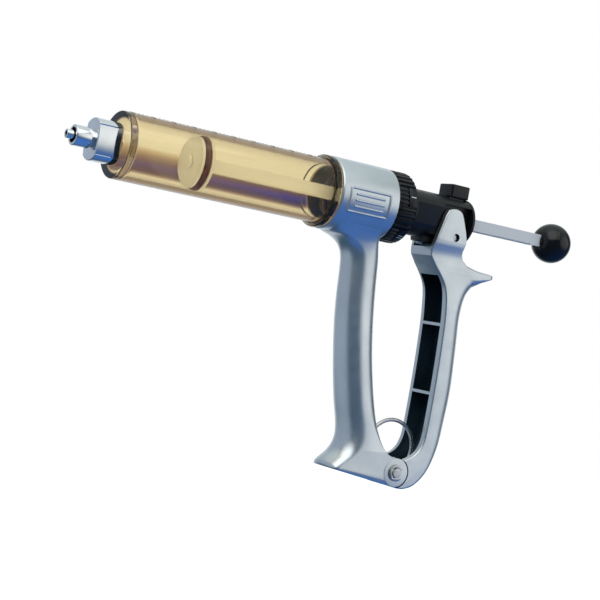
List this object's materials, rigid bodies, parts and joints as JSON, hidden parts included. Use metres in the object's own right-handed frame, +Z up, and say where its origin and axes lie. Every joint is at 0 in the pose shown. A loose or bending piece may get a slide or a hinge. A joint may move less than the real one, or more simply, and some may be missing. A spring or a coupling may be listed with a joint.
{
  "type": "pistol-grip repeating syringe",
  "caption": "Hand-driven repeating syringe with a clear barrel, pistol grip, squeeze lever, dose dial, toothed plunger rod with ball knob and a release button.",
  "frame": {"origin": "middle of the hand grip, in the plane that halves the part", "axes": "+X from the nozzle towards the ball knob along the barrel, +Z up towards the barrel, +Y to the right side of somebody behind the part looking along -X"},
  "size_m": [0.2795, 0.0344, 0.1486],
  "materials": {
    "cast_metal": "satin silver casting",
    "chrome": "polished",
    "steel": "plain spring steel",
    "amber_barrel": "clear amber plastic",
    "black_plastic": "satin black",
    "black_knob": "gloss black",
    "seal_rubber": "dark red-brown",
    "pale_plastic": "pale grey"
  },
  "bodies": {
    "frame": {"frame_casting": "cast_metal", "barrel": "amber_barrel", "nozzle_hub": "chrome", "luer_cone": "chrome", "nozzle_gasket": "seal_rubber", "barrel_gasket": "seal_rubber", "hinge_pin": "steel", "hinge_clip_near": "steel", "hinge_clip_far": "steel", "return_spring": "steel", "detent_ball": "steel", "detent_spring": "steel", "dial_snap_ring": "steel"},
    "dial": {"dose_dial": "black_plastic", "dose_cam": "steel", "dial_cap": "black_plastic"},
    "carriage": {"carriage_housing": "black_plastic", "carriage_cap": "black_plastic", "pawl_spring_plug": "steel", "guide_screw": "steel"},
    "release": {"release_button": "black_plastic", "pawl_yoke": "black_plastic", "pawl": "steel", "pawl_spring": "steel"},
    "lever": {"lever": "cast_metal", "lever_pin": "steel"},
    "plunger": {"rack_rod": "pale_plastic", "piston_front_disc": "pale_plastic", "piston_seal": "seal_rubber", "piston_rear_disc": "pale_plastic", "piston_screw": "steel", "piston_nut": "steel", "ball_knob": "black_knob"}
  },
  "joints": [
    {"name": "lever_pivot", "type": "hinge", "parent": "frame", "child": "lever", "pos_m": [0.0318, 0, -0.0689], "axis": [0, -1, 0], "range_deg": [0, 5], "stiffness_Nm_per_rad": 4, "springref_deg": -6.88, "deforming": ["return_spring"]},
    {"name": "carriage_slide", "type": "slide", "parent": "frame", "child": "carriage", "axis": [-1, 0, 0], "range_m": [0, 0.0104]},
    {"name": "plunger_slide", "type": "slide", "parent": "frame", "child": "plunger", "axis": [-1, 0, 0], "range_m": [-0.062, 0.031]},
    {"name": "dial_turn", "type": "hinge", "parent": "frame", "child": "dial", "pos_m": [0.008, 0, 0.055], "axis": [1, 0, 0], "continuous": true},
    {"name": "release_press", "type": "slide", "parent": "carriage", "child": "release", "axis": [0, 0, -1], "range_m": [0, 0.0016], "stiffness_N_per_m": 400, "springref_m": -0.002, "deforming": ["pawl_spring"]}
  ],
  "couplings": [
    {"joint": "carriage_slide", "follows": "lever_pivot", "m_per_rad": 0.116}
  ]
}
